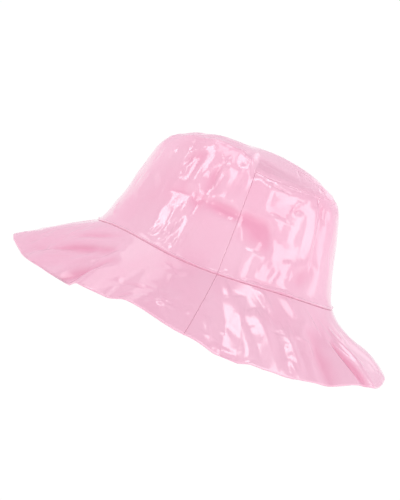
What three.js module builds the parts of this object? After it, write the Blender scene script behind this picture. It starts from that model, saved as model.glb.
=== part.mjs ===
// A wide-brimmed rain hat sewn from glossy coated sheet, resting on its own brim.
// Millimetres, +Z up. The floor is z = 0, and the origin lies on it under the middle of the hat.
// The hat's front points along -X, and its two side seams lie near the Y axis.
//
// The hat is sewn from five cut pieces: an oval top, a front and a back crown panel, and a front
// and a back brim panel. Each is a wall of even thickness, and a narrow gap parts it from the next.
import * as THREE from 'three';

// Driving sizes
const HEAD_LENGTH = 200; // outside, front to back, at the seam of crown and brim
const HEAD_WIDTH = 172; // outside, side to side, at the same seam
const WALL = 1.4; // the coated sheet with its backing
const SEAM_GAP = 0.3; // between two pieces along a seam
const CROWN_HEIGHT = 80.5; // from the brim seam up to the edge of the oval top
const CROWN_TAPER = 29.3; // how far inside the brim seam the edge of the oval top lies
const CROWN_SLUMP = 0.8; // how far the crown's upper part has sunk towards the back
const CROWN_TILT = 2.7; // in degrees, with the front of the crown lower
const TOP_RISE = 17; // how far the oval top domes above its own edge
const BRIM_WIDTH = 69; // along the sheet, from the brim seam to the hem
const BRIM_SLOPE = 47; // in degrees, where the hem reaches the floor
const SIDE_TURN = 92; // in degrees, from the front round to the crown's side seams
const SEAM_SKEW = 2.7; // in degrees, how far forward the brim's side seams run on their way out
const HEM_PRESS = 0.8; // how far the hat's weight flattens the hem on the floor

// Shapes of the formulas, as powers and as shares of a piece's height or width
const DOME_POWER = 3; // the oval top is flat in the middle and falls off towards its edge
const HEM_POWER = 4; // a fold lifts the brim, and only near the hem does it push it outwards
const SEAM_HOLD = 0.14; // the crown's seams hold dents off as far as this
const SLUMP_END = 0.5; // above this the whole crown has sunk back
const FOLD_END = 1.2; // where a fold would be fully grown, past the hem

// Mesh steps: columns run round the hat, and rows run up or across a piece
const CROWN_COLUMNS = 38;
const CROWN_ROWS = 10;
const BRIM_COLUMNS = 56;
const BRIM_ROWS = 8;
const TOP_RINGS = 6;
const NORMAL_STEP = 1e-4;

// A turn is an angle round the hat in degrees: 0 is the back, 90 the right side, 180 the front and
// 270 the left side.
const FULL_TURN = 360;
const FRONT = 180;

// Outline of the crown's wall: rise is a share of CROWN_HEIGHT, and inset a share of CROWN_TAPER.
const CROWN_OUTLINE = [
  { rise: 0.0, inset: 0.0 },
  { rise: 0.1, inset: 0.15 },
  { rise: 0.34, inset: 0.37 },
  { rise: 0.65, inset: 0.585 },
  { rise: 0.9, inset: 0.795 },
  { rise: 1.0, inset: 1.0 },
];

// The brim seam isn't quite level: rise is a share of CROWN_HEIGHT.
const SEAM_WAVES = [
  { turn: 0, rise: 0.0 },
  { turn: 50, rise: 0.025 },
  { turn: 90, rise: 0.0 },
  { turn: 140, rise: 0.035 },
  { turn: 180, rise: 0.0 },
  { turn: 220, rise: 0.05 },
  { turn: 262, rise: 0.0 },
  { turn: 305, rise: 0.03 },
];

// Nor is the edge of the oval top: its front has been pushed up, most of all on the left.
const TOP_EDGE_WAVES = [
  { turn: 0, rise: 0.0 },
  { turn: 84, rise: 0.0 },
  { turn: 110, rise: 0.04 },
  { turn: 150, rise: 0.03 },
  { turn: 180, rise: 0.01 },
  { turn: 200, rise: 0.05 },
  { turn: 225, rise: 0.12 },
  { turn: 243, rise: 0.17 },
  { turn: 258, rise: 0.16 },
  { turn: 266, rise: 0.12 },
  { turn: 273, rise: 0.015 },
  { turn: 282, rise: 0.0 },
];

// The hem's crests and dips: lift is a height over the floor, as a share of the seam's height.
const HEM_WAVES = [
  { turn: 0, lift: 0.45 },
  { turn: 30, lift: 0.14 },
  { turn: 45, lift: 0.18 },
  { turn: 64, lift: 0.0 },
  { turn: 92, lift: 0.17 },
  { turn: 110, lift: 0.02 },
  { turn: 124, lift: 0.1 },
  { turn: 141, lift: 0.0 },
  { turn: 180, lift: 0.17 },
  { turn: 203, lift: 0.01 },
  { turn: 226, lift: 0.0 },
  { turn: 234, lift: 0.14 },
  { turn: 243, lift: 0.15 },
  { turn: 251, lift: 0.255 },
  { turn: 270, lift: 0.135 },
  { turn: 285, lift: 0.0 },
  { turn: 292, lift: 0.09 },
  { turn: 300, lift: 0.08 },
  { turn: 318, lift: 0.16 },
  { turn: 340, lift: 0.35 },
];

// How far the brim bows out of straight near the crown and near the hem, as shares of BRIM_WIDTH.
const BRIM_BOWS = [
  { turn: 0, byCrown: -0.15, byHem: 0.1 },
  { turn: 40, byCrown: -0.06, byHem: 0.0 },
  { turn: 90, byCrown: 0.02, byHem: 0.0 },
  { turn: 180, byCrown: 0.02, byHem: 0.0 },
  { turn: 225, byCrown: 0.03, byHem: 0.0 },
  { turn: 270, byCrown: 0.02, byHem: 0.0 },
  { turn: 315, byCrown: -0.03, byHem: 0.0 },
  { turn: 338, byCrown: -0.14, byHem: 0.06 },
];

// Folds that run out across the brim. turn is where the crest of a fold meets the hem, and swing the
// turn from there back to its start. start is a share of the way out. height is a share of
// BRIM_WIDTH, and below zero for a groove. before and after are the widths of its two flanks, in
// degrees.
const BRIM_FOLDS = [
  { turn: 339, swing: -4, start: 0.2, height: 0.09, before: 2.6, after: 12 },
  { turn: 331, swing: -4, start: 0.4, height: -0.03, before: 8, after: 3 },
  { turn: 194, swing: 22, start: 0.0, height: -0.03, before: 6, after: 5 },
  { turn: 212, swing: 14, start: 0.05, height: -0.032, before: 5, after: 4 },
  { turn: 235, swing: 2, start: 0.15, height: 0.04, before: 4, after: 8 },
  { turn: 246, swing: 3, start: 0.45, height: -0.026, before: 5, after: 4 },
  { turn: 288, swing: -6, start: 0.15, height: 0.03, before: 5, after: 4 },
  { turn: 307, swing: -9, start: 0.2, height: 0.028, before: 4, after: 6 },
  { turn: 24, swing: 3, start: 0.2, height: 0.05, before: 9, after: 4 },
  { turn: 60, swing: -4, start: 0.1, height: -0.03, before: 5, after: 6 },
  { turn: 98, swing: 3, start: 0.25, height: 0.028, before: 5, after: 7 },
  { turn: 128, swing: -6, start: 0.1, height: 0.032, before: 7, after: 4 },
  { turn: 158, swing: -14, start: 0.05, height: -0.03, before: 5, after: 6 },
];

// Dents and ridges of the crown's wall. turn and rise place the middle. rise, long, wide and depth
// are shares of CROWN_HEIGHT: long and wide are half sizes, and depth is outwards. lean is the slope
// of the long way from level, in degrees.
const CROWN_DENTS = [
  { turn: 268, rise: 0.56, long: 0.26, wide: 0.055, depth: -0.022, lean: 3 },
  { turn: 290, rise: 0.5, long: 0.24, wide: 0.08, depth: -0.024, lean: -32 },
  { turn: 299, rise: 0.8, long: 0.2, wide: 0.05, depth: -0.018, lean: 10 },
  { turn: 302, rise: 0.58, long: 0.22, wide: 0.1, depth: 0.02, lean: 66 },
  { turn: 312, rise: 0.22, long: 0.2, wide: 0.12, depth: -0.02, lean: 30 },
  { turn: 323, rise: 0.9, long: 0.14, wide: 0.05, depth: -0.02, lean: 84 },
  { turn: 252, rise: 0.76, long: 0.26, wide: 0.07, depth: -0.02, lean: 84 },
  { turn: 262, rise: 0.92, long: 0.22, wide: 0.09, depth: 0.026, lean: 12 },
  { turn: 236, rise: 0.26, long: 0.28, wide: 0.05, depth: -0.016, lean: 72 },
  { turn: 244, rise: 0.3, long: 0.28, wide: 0.05, depth: 0.014, lean: 74 },
  { turn: 238, rise: 0.8, long: 0.26, wide: 0.11, depth: -0.016, lean: 60 },
  { turn: 205, rise: 0.45, long: 0.4, wide: 0.16, depth: 0.014, lean: 80 },
  { turn: 30, rise: 0.55, long: 0.3, wide: 0.09, depth: -0.02, lean: 40 },
  { turn: 62, rise: 0.42, long: 0.28, wide: 0.07, depth: -0.022, lean: -20 },
  { turn: 84, rise: 0.72, long: 0.26, wide: 0.08, depth: 0.018, lean: 76 },
  { turn: 104, rise: 0.5, long: 0.26, wide: 0.06, depth: -0.022, lean: 8 },
  { turn: 122, rise: 0.3, long: 0.28, wide: 0.06, depth: 0.016, lean: 68 },
  { turn: 136, rise: 0.74, long: 0.24, wide: 0.08, depth: -0.018, lean: 60 },
  { turn: 160, rise: 0.4, long: 0.34, wide: 0.12, depth: 0.014, lean: 100 },
];

// Swells and hollows of the oval top. back and right place the middle, as shares of the top's half
// length and half width. size is a share of both, and rise a share of TOP_RISE.
const TOP_SWELLS = [
  { back: 0.1, right: 0.35, size: 0.45, rise: 0.12 },
  { back: 0.3, right: -0.45, size: 0.35, rise: -0.14 },
  { back: -0.5, right: -0.4, size: 0.32, rise: 0.12 },
  { back: -0.3, right: 0.4, size: 0.35, rise: -0.1 },
];

const SHEET_FINISH = { color: 0xf5c2d7, roughness: 0.22, metalness: 0 };

/** Turn from one direction to another, at most half a turn either way. */
function turnBetween(from, to) {
  return THREE.MathUtils.euclideanModulo(to - from + FULL_TURN / 2, FULL_TURN) - FULL_TURN / 2;
}

/** Value of one column of a table at a turn, eased from row to row all the way round. */
function roundTable(rows, column, turn) {
  const at = THREE.MathUtils.euclideanModulo(turn, FULL_TURN);
  const low = rows.findLastIndex((row) => row.turn <= at);
  const high = (low + 1) % rows.length;
  const span = THREE.MathUtils.euclideanModulo(rows[high].turn - rows[low].turn, FULL_TURN);
  const eased = (1 - Math.cos((Math.PI * (at - rows[low].turn)) / span)) / 2;
  return THREE.MathUtils.lerp(rows[low][column], rows[high][column], eased);
}

/** How far the brim seam or the top's edge rises above its own plane. */
function edgeRise(waves, turn) {
  return CROWN_HEIGHT * roundTable(waves, 'rise', turn);
}

/** Point of an oval that lies inside the brim seam, in the crown's own level frame. */
function ovalPoint(turn, inset, height) {
  const angle = THREE.MathUtils.degToRad(turn);
  return new THREE.Vector3(
    (HEAD_LENGTH / 2 - inset) * Math.cos(angle),
    (HEAD_WIDTH / 2 - inset) * Math.sin(angle),
    height,
  );
}

/** Depth of the crown's dents and ridges, outwards. The seams hold the wall near its two edges. */
function crownDent(turn, rise) {
  const oval = Math.PI * (HEAD_LENGTH / 2 + HEAD_WIDTH / 2 - CROWN_TAPER);
  let depth = 0;
  for (const dent of CROWN_DENTS) {
    const round = ((turnBetween(dent.turn, turn) / FULL_TURN) * oval) / CROWN_HEIGHT;
    const place = new THREE.Vector2(round, rise - dent.rise);
    place.rotateAround(new THREE.Vector2(), -THREE.MathUtils.degToRad(dent.lean));
    depth += dent.depth * Math.exp(-((place.x / dent.long) ** 2) - (place.y / dent.wide) ** 2);
  }
  const free = THREE.MathUtils.smoothstep(Math.min(rise, 1 - rise), 0, SEAM_HOLD);
  return CROWN_HEIGHT * depth * free;
}

const crownCurve = new THREE.SplineCurve(
  CROWN_OUTLINE.map((row) => new THREE.Vector2(row.inset, row.rise)),
);

/** Outside of the crown's wall at a turn and a share of the way up. */
function crownPoint(turn, share) {
  const { x: inset, y: rise } = crownCurve.getPoint(THREE.MathUtils.clamp(share, 0, 1));
  const bySeam = edgeRise(SEAM_WAVES, turn) * (1 - rise) ** 2;
  const byTop = edgeRise(TOP_EDGE_WAVES, turn) * rise ** DOME_POWER;
  const height = CROWN_HEIGHT * rise + bySeam + byTop;
  const point = ovalPoint(turn, CROWN_TAPER * inset - crownDent(turn, rise), height);
  point.x += CROWN_SLUMP * THREE.MathUtils.smoothstep(rise, 0, SLUMP_END);
  return point;
}

/** Upper side of the oval top at a turn and a share of the way out from its middle. */
function topPoint(turn, out) {
  const back = out * Math.cos(THREE.MathUtils.degToRad(turn));
  const right = out * Math.sin(THREE.MathUtils.degToRad(turn));
  const edge = edgeRise(TOP_EDGE_WAVES, turn) * out ** DOME_POWER;
  const inside = 1 - out ** DOME_POWER;
  let rise = inside;
  for (const swell of TOP_SWELLS) {
    const away = Math.hypot(back - swell.back, right - swell.right) / swell.size;
    rise += swell.rise * Math.exp(-(away ** 2)) * inside;
  }
  return new THREE.Vector3(
    (HEAD_LENGTH / 2 - CROWN_TAPER) * back + CROWN_SLUMP,
    (HEAD_WIDTH / 2 - CROWN_TAPER) * right,
    CROWN_HEIGHT + edge + TOP_RISE * rise,
  );
}

// The crown stands tilted at the top of the brim.
const crown = new THREE.Group();
crown.position.z = BRIM_WIDTH * Math.sin(THREE.MathUtils.degToRad(BRIM_SLOPE));
crown.rotation.y = -THREE.MathUtils.degToRad(CROWN_TILT);
crown.updateMatrix();

/** Height of the brim's folds at a turn and a share of the way out. */
function brimFold(turn, out) {
  let height = 0;
  for (const fold of BRIM_FOLDS) {
    const away = turnBetween(fold.turn + fold.swing * (1 - out), turn);
    const flank = away < 0 ? fold.before : fold.after;
    const grown = THREE.MathUtils.smoothstep(out, fold.start, FOLD_END);
    height += fold.height * grown * Math.exp(-((away / flank) ** 2));
  }
  return BRIM_WIDTH * height;
}

/** Upper side of the brim at a turn and a share of the way out. */
function brimPoint(turn, out) {
  const point = ovalPoint(turn, 0, edgeRise(SEAM_WAVES, turn)).applyMatrix4(crown.matrix);
  const angle = THREE.MathUtils.degToRad(turn);
  const away = new THREE.Vector3(Math.cos(angle) * HEAD_WIDTH, Math.sin(angle) * HEAD_LENGTH, 0);
  away.normalize();
  const lift = crown.position.z * roundTable(HEM_WAVES, 'lift', turn);
  const drop = point.z - Math.max(0, lift - HEM_PRESS);
  const reach = Math.sqrt(BRIM_WIDTH ** 2 - drop ** 2);
  const nearCrown = roundTable(BRIM_BOWS, 'byCrown', turn) * out * (1 - out) ** 2;
  const nearHem = roundTable(BRIM_BOWS, 'byHem', turn) * out ** 2 * (1 - out);
  const fold = brimFold(turn, out);
  const atHem = out ** HEM_POWER;
  const bow = 3 * BRIM_WIDTH * (nearCrown + nearHem) + fold * (1 - atHem);
  point.addScaledVector(away, reach * out + (bow * drop) / BRIM_WIDTH + fold * atHem);
  point.z += (bow * reach) / BRIM_WIDTH - drop * out;
  return point;
}

/** Unit normal of a surface at a place. */
function normalOf(surface, s, t) {
  const along = surface(s + NORMAL_STEP, t).sub(surface(s - NORMAL_STEP, t));
  const up = surface(s, t + NORMAL_STEP).sub(surface(s, t - NORMAL_STEP));
  return along.cross(up).normalize();
}

/** Way inwards from an edge where surfaces with these two unit normals meet in a mitre. */
function mitre(normal, other) {
  return normal.clone().add(other).divideScalar(1 + normal.dot(other));
}

/** Bends a flat plate into a wall: the surface is its outer side, and the floor stops it below. */
function bendToWall(plate, surface, normal, floor = -Infinity) {
  const places = plate.getAttribute('position');
  for (let i = 0; i < places.count; i += 1) {
    const s = places.getX(i);
    const t = places.getY(i);
    const point = surface(s, t);
    if (places.getZ(i) < 0) point.addScaledVector(normal(s, t), -WALL);
    places.setXYZ(i, point.x, point.y, Math.max(floor, point.z));
  }
  plate.computeVertexNormals();
  return plate;
}

/** Square plate, from 0 to 1 both ways, with this many columns and rows. */
function squarePlate(columns, rows) {
  return new THREE.BoxGeometry(1, 1, 1, columns, rows, 1).translate(0.5, 0.5, 0);
}

/** Round plate with a radius of 1 and two panels' columns round it. */
function roundPlate() {
  const radii = Array.from({ length: TOP_RINGS + 1 }, (_, ring) => ring / TOP_RINGS);
  const lower = radii.map((radius) => new THREE.Vector2(radius, -1));
  const upper = radii.map((radius) => new THREE.Vector2(radius, 1)).reverse();
  const plate = new THREE.LatheGeometry([...lower, ...upper], CROWN_COLUMNS * 2);
  return plate.rotateX(Math.PI / 2).rotateZ(Math.PI / 2);
}

/** Turns where the front panel of the crown or of the brim starts and ends. */
function frontSpan(sideTurn) {
  return [FRONT - sideTurn, FRONT + sideTurn];
}

/** Turns where the back panel of the crown or of the brim starts and ends. */
function backSpan(sideTurn) {
  return [FRONT + sideTurn, FRONT + FULL_TURN - sideTurn];
}

/** Turn at a share of the way round a panel that stops half a seam's gap short at both ends. */
function panelTurn(point, [from, to], share, along) {
  const degree = point(from, along).distanceTo(point(from + 1, along));
  const trim = SEAM_GAP / 2 / degree;
  return THREE.MathUtils.lerp(from + trim, to - trim, share);
}

/** Unit normal of the oval top at a turn of its edge. */
function topEdgeNormal(turn) {
  return normalOf((around, inwards) => topPoint(around, 1 - inwards), turn, 0);
}

/** Front or back panel of the crown's wall. */
function crownPanel(span) {
  const trim = SEAM_GAP / 2 / CROWN_HEIGHT;
  const surface = (s, t) => {
    const share = THREE.MathUtils.lerp(trim, 1 - trim, t);
    return crownPoint(panelTurn(crownPoint, span(SIDE_TURN), s, share), share);
  };
  const normal = (s, t) => {
    const own = normalOf(surface, s, t);
    return t < 1 ? own : mitre(own, topEdgeNormal(THREE.MathUtils.lerp(...span(SIDE_TURN), s)));
  };
  return bendToWall(squarePlate(CROWN_COLUMNS, CROWN_ROWS), surface, normal);
}

/** Oval top of the crown. */
function ovalTop() {
  const trim = SEAM_GAP / 2 / (HEAD_WIDTH / 2 - CROWN_TAPER);
  const turn = (s, t) => {
    const round = THREE.MathUtils.euclideanModulo(Math.atan2(t, s) / Math.PI, 2);
    const span = round < 1 ? frontSpan : backSpan;
    return THREE.MathUtils.lerp(...span(SIDE_TURN), round % 1);
  };
  const surface = (s, t) => topPoint(turn(s, t), Math.hypot(s, t) * (1 - trim));
  const normal = (s, t) => {
    const own = normalOf(surface, s, t);
    const inside = Math.hypot(s, t) < 1 - NORMAL_STEP;
    return inside ? own : mitre(own, normalOf(crownPoint, turn(s, t), 1));
  };
  return bendToWall(roundPlate(), surface, normal);
}

/** Front or back panel of the brim, with its hem on the floor. */
function brimPanel(span) {
  const trim = SEAM_GAP / 2 / BRIM_WIDTH;
  const surface = (s, t) => {
    const out = THREE.MathUtils.lerp(1, trim, t);
    return brimPoint(panelTurn(brimPoint, span(SIDE_TURN - SEAM_SKEW * out), s, out), out);
  };
  const normal = (s, t) => normalOf(surface, s, t);
  return bendToWall(squarePlate(BRIM_COLUMNS, BRIM_ROWS), surface, normal, 0);
}

/** Named piece of the coated sheet. */
function sheetPiece(name, geometry) {
  const piece = new THREE.Mesh(geometry, new THREE.MeshStandardMaterial(SHEET_FINISH));
  piece.name = name;
  return piece;
}

crown.add(
  sheetPiece('crown_top', ovalTop()),
  sheetPiece('crown_front', crownPanel(frontSpan)),
  sheetPiece('crown_back', crownPanel(backSpan)),
);

const hat = new THREE.Group();
hat.add(
  crown,
  sheetPiece('brim_front', brimPanel(frontSpan)),
  sheetPiece('brim_back', brimPanel(backSpan)),
);
const middle = new THREE.Box3().setFromObject(hat, true).getCenter(new THREE.Vector3());
hat.position.set(-middle.x, -middle.y, 0);

export default hat;
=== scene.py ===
"""Wide brim rain hat: glossy coated sheet in five sewn pieces, on a plain pale floor.

Lengths are metres, angles degrees. A turn is an angle round the hat: 0 is the back (+X), 90 the right
side (+Y), 180 the front (-X) and 270 the left side (-Y), which the camera sees.
"""

from __future__ import annotations

import logging
import math
from collections.abc import Callable
from dataclasses import dataclass, field
from enum import Enum

import bmesh
import bpy
import numpy as np
from mathutils import Matrix, Vector

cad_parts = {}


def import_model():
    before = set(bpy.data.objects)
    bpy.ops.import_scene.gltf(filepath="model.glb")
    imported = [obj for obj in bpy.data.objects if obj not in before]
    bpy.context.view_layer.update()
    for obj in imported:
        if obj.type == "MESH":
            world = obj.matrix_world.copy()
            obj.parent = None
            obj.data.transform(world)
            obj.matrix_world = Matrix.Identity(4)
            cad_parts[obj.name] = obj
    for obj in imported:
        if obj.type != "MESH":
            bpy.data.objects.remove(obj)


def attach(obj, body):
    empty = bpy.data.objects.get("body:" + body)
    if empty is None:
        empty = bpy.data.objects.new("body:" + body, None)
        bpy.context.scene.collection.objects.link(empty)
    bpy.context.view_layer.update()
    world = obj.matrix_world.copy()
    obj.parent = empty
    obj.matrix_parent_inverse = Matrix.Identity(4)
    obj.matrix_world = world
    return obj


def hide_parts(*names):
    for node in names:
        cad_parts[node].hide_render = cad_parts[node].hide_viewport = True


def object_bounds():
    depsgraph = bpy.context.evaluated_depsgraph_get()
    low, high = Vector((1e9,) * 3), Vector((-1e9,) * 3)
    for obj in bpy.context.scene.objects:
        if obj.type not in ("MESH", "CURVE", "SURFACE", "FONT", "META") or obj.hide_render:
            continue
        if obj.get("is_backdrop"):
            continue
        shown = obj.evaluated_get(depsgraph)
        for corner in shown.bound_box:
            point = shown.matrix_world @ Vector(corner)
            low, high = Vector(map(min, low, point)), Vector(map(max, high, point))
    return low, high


LOG = logging.getLogger("rain_hat")
MM = 0.001
FULL_TURN = 360.0
NORMAL_STEP = 1e-4
MIDDLE_STEPS = 1441
BODY = "root"
FLAT_PLACE = "flat_sheet"
# The two marks below set where the finish paints shade: along the seams and in the hollows of folds.
SEAM_DISTANCE = "seam_distance"
FOLD_DEPTH = "fold_depth"

Field = Callable[[np.ndarray, np.ndarray], np.ndarray]


class Span(Enum):
    """Which half of the hat a panel covers."""

    FRONT = "front"
    BACK = "back"

    def turns(self, side: float | np.ndarray) -> tuple:
        """Turns where the half starts and ends.

        Args:
            side: turn from the front round to the side seams.

        Returns:
            The first and the last turn.
        """
        if self is Span.FRONT:
            return 180.0 - side, 180.0 + side
        return 180.0 + side, 540.0 - side


def smoothstep(value: np.ndarray, low: float, high: float) -> np.ndarray:
    """Eased step.

    Args:
        value: where to read it.
        low: below this it is 0.
        high: above this it is 1.

    Returns:
        The step at each value.
    """
    t = np.clip((value - low) / (high - low), 0.0, 1.0)
    return t * t * (3.0 - 2.0 * t)


def turn_between(start: float | np.ndarray, end: float | np.ndarray) -> np.ndarray:
    """Turn from one direction to another, at most half a turn either way.

    Args:
        start: turn to measure from.
        end: turn to measure to.

    Returns:
        The signed turn.
    """
    return np.mod(end - start + FULL_TURN / 2, FULL_TURN) - FULL_TURN / 2


def round_table(rows: tuple[tuple[float, float], ...], turn: np.ndarray) -> np.ndarray:
    """Reads a table of (turn, value) rows, eased from row to row all the way round.

    Args:
        rows: the table, with its first row at turn 0.
        turn: where to read it.

    Returns:
        The value at each turn.
    """
    turns = np.array([row[0] for row in rows] + [FULL_TURN])
    values = np.array([row[1] for row in rows] + [rows[0][1]])
    at = np.mod(turn, FULL_TURN)
    low = np.clip(np.searchsorted(turns, at, side="right") - 1, 0, len(rows) - 1)
    eased = (1.0 - np.cos(np.pi * (at - turns[low]) / (turns[low + 1] - turns[low]))) / 2.0
    return values[low] + (values[low + 1] - values[low]) * eased


def spline(points: np.ndarray, share: np.ndarray) -> np.ndarray:
    """Smooth curve through points, evenly timed from point to point.

    Args:
        points: one row for each point.
        share: places along it, from 0 to 1.

    Returns:
        One row for each place.
    """
    last = len(points) - 1
    at = np.clip(share, 0.0, 1.0) * last
    low = np.minimum(np.floor(at).astype(int), last - 1)
    t = (at - low)[..., None]
    a, b = points[np.maximum(low - 1, 0)], points[low]
    c, d = points[low + 1], points[np.minimum(low + 2, last)]
    leave, arrive = (c - a) / 2.0, (d - b) / 2.0
    cubic, square = 2 * b - 2 * c + leave + arrive, -3 * b + 3 * c - 2 * leave - arrive
    return cubic * t**3 + square * t**2 + leave * t + b


@dataclass(frozen=True)
class Dent:
    """Dent or ridge of the crown, at a turn and at a share of the way up.

    long, wide and depth are shares of the crown's height. depth is outwards, so a dent's is below
    zero, and lean is how far its long way is turned up from the level.
    """

    turn: float
    rise: float
    long: float
    wide: float
    depth: float
    lean: float


@dataclass(frozen=True)
class Fold:
    """Fold that runs out across the brim.

    turn is its crest's at the hem, and at the seam the crest lies further round by swing. It starts at
    a share of the way out. height is a share of the brim's width and below zero for a valley. before
    and after are the widths of its flanks, in degrees.
    """

    turn: float
    swing: float
    start: float
    height: float
    before: float
    after: float


@dataclass(frozen=True)
class Swell:
    """Swell of the oval top: places and size are shares of its half sizes, rise of its dome."""

    back: float
    right: float
    size: float
    rise: float


@dataclass(frozen=True)
class HatForm:
    """Main form of the hat, as surfaces of the sheet's outer side.

    outline has (rise, inset) pairs, as shares of the crown's height and taper. Waves and bows are
    (turn, share) rows: shares of the crown's height for seam_waves and top_edge_waves, of the brim
    seam's height over the floor for hem_waves, and of the brim's width for the bows. Dents fade out
    within dent_fade of the way up from the crown's edges. Folds grow until fold_end, a share of the
    way out that lies past the hem.
    """

    head_length: float = 200 * MM
    head_width: float = 172 * MM
    crown_height: float = 80.5 * MM
    crown_taper: float = 29.3 * MM
    crown_slump: float = 0.8 * MM
    crown_tilt: float = 2.7
    top_rise: float = 17 * MM
    brim_width: float = 69 * MM
    brim_slope: float = 47.0
    side_turn: float = 92.0
    seam_skew: float = 2.7
    hem_press: float = 0.8 * MM
    fold_end: float = 1.2
    dent_fade: float = 0.14
    outline: tuple = ((0.0, 0.0), (0.1, 0.15), (0.34, 0.37), (0.65, 0.585), (0.9, 0.795), (1.0, 1.0))
    seam_waves: tuple = (
        (0, 0.0), (50, 0.025), (90, 0.0), (140, 0.035), (180, 0.0), (220, 0.05), (262, 0.0), (305, 0.03),
    )
    top_edge_waves: tuple = (
        (0, 0.0), (84, 0.0), (110, 0.04), (150, 0.03), (180, 0.01), (200, 0.05), (225, 0.12), (243, 0.17),
        (258, 0.16), (266, 0.12), (273, 0.015), (282, 0.0),
    )
    hem_waves: tuple = (
        (0, 0.45), (30, 0.14), (45, 0.18), (64, 0.0), (92, 0.17), (110, 0.02), (124, 0.1), (141, 0.0),
        (180, 0.17), (203, 0.01), (226, 0.0), (234, 0.14), (243, 0.15), (251, 0.255), (270, 0.135),
        (285, 0.0), (292, 0.09), (300, 0.08), (318, 0.16), (340, 0.35),
    )
    bows_by_crown: tuple = (
        (0, -0.15), (40, -0.06), (90, 0.02), (180, 0.02), (225, 0.03), (270, 0.02), (315, -0.03),
        (338, -0.14),
    )
    bows_by_hem: tuple = ((0, 0.1), (40, 0.0), (315, 0.0), (338, 0.06))
    folds: tuple = (
        Fold(339, -4, 0.2, 0.09, 2.6, 12), Fold(331, -4, 0.4, -0.03, 8, 3), Fold(194, 22, 0.0, -0.03, 6, 5),
        Fold(212, 14, 0.05, -0.032, 5, 4), Fold(235, 2, 0.15, 0.04, 4, 8), Fold(246, 3, 0.45, -0.026, 5, 4),
        Fold(288, -6, 0.15, 0.03, 5, 4), Fold(307, -9, 0.2, 0.028, 4, 6), Fold(24, 3, 0.2, 0.05, 9, 4),
        Fold(60, -4, 0.1, -0.03, 5, 6), Fold(98, 3, 0.25, 0.028, 5, 7), Fold(128, -6, 0.1, 0.032, 7, 4),
        Fold(158, -14, 0.05, -0.03, 5, 6),
    )
    dents: tuple = (
        Dent(268, 0.56, 0.26, 0.055, -0.022, 3), Dent(290, 0.5, 0.24, 0.08, -0.024, -32),
        Dent(299, 0.8, 0.2, 0.05, -0.018, 10), Dent(302, 0.58, 0.22, 0.1, 0.02, 66),
        Dent(312, 0.22, 0.2, 0.12, -0.02, 30), Dent(323, 0.9, 0.14, 0.05, -0.02, 84),
        Dent(252, 0.76, 0.26, 0.07, -0.02, 84), Dent(262, 0.92, 0.22, 0.09, 0.026, 12),
        Dent(238, 0.8, 0.26, 0.11, -0.016, 60), Dent(205, 0.45, 0.4, 0.16, 0.014, 80),
        Dent(30, 0.55, 0.3, 0.09, -0.02, 40), Dent(62, 0.42, 0.28, 0.07, -0.022, -20),
        Dent(84, 0.72, 0.26, 0.08, 0.018, 76), Dent(104, 0.5, 0.26, 0.06, -0.022, 8),
        Dent(122, 0.3, 0.28, 0.06, 0.016, 68), Dent(136, 0.74, 0.24, 0.08, -0.018, 60),
        Dent(160, 0.4, 0.34, 0.12, 0.014, 100),
    )
    swells: tuple = (
        Swell(0.1, 0.35, 0.45, 0.12), Swell(0.3, -0.45, 0.35, -0.14), Swell(-0.5, -0.4, 0.32, 0.12),
        Swell(-0.3, 0.4, 0.35, -0.1),
    )

    @property
    def seam_height(self) -> float:
        """Height of the brim seam over the floor."""
        return self.brim_width * math.sin(math.radians(self.brim_slope))

    def settled(self, point: np.ndarray) -> np.ndarray:
        """Takes points of the crown's own level frame to the hat's frame.

        Args:
            point: one row for each point.

        Returns:
            The points where the tilted crown stands on the brim.
        """
        turned = Matrix.Rotation(-math.radians(self.crown_tilt), 3, "Y")
        return point @ np.array(turned).T + np.array([0.0, 0.0, self.seam_height])

    def oval(self, turn: np.ndarray, inset: np.ndarray | float, height: np.ndarray) -> np.ndarray:
        """Points of an oval inside the brim seam, in the crown's own frame.

        Args:
            turn: places round it.
            inset: how far inside the seam.
            height: height over the seam's plane.

        Returns:
            One row for each place.
        """
        angle = np.radians(turn)
        x = (self.head_length / 2 - inset) * np.cos(angle)
        y = (self.head_width / 2 - inset) * np.sin(angle)
        return np.stack([x, y, height + 0 * x], axis=-1)

    def crown_dent(self, turn: np.ndarray, rise: np.ndarray) -> np.ndarray:
        """Depth of the crown's large dents, outwards.

        Args:
            turn: places round the crown.
            rise: shares of the way up.

        Returns:
            The depth at each place.
        """
        oval = math.pi * (self.head_length / 2 + self.head_width / 2 - self.crown_taper)
        depth = 0.0 * turn
        for dent in self.dents:
            across = turn_between(dent.turn, turn) / FULL_TURN * oval / self.crown_height
            up = rise - dent.rise
            lean = math.radians(dent.lean)
            along = across * math.cos(lean) + up * math.sin(lean)
            aside = up * math.cos(lean) - across * math.sin(lean)
            depth = depth + dent.depth * np.exp(-((along / dent.long) ** 2) - (aside / dent.wide) ** 2)
        return self.crown_height * depth * smoothstep(np.minimum(rise, 1.0 - rise), 0.0, self.dent_fade)

    def crown(self, turn: np.ndarray, share: np.ndarray) -> np.ndarray:
        """Outside of the crown's wall, in the crown's own frame.

        Args:
            turn: places round the crown.
            share: shares of the way up its outline.

        Returns:
            One row for each place.
        """
        found = spline(np.array(self.outline), share)
        rise, inset = found[..., 0], found[..., 1]
        waves = round_table(self.seam_waves, turn) * (1 - rise) ** 2
        waves = waves + round_table(self.top_edge_waves, turn) * rise**3
        dent = self.crown_dent(turn, rise)
        point = self.oval(turn, self.crown_taper * inset - dent, self.crown_height * (rise + waves))
        point[..., 0] += self.crown_slump * smoothstep(rise, 0.0, 0.5)
        return point

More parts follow.
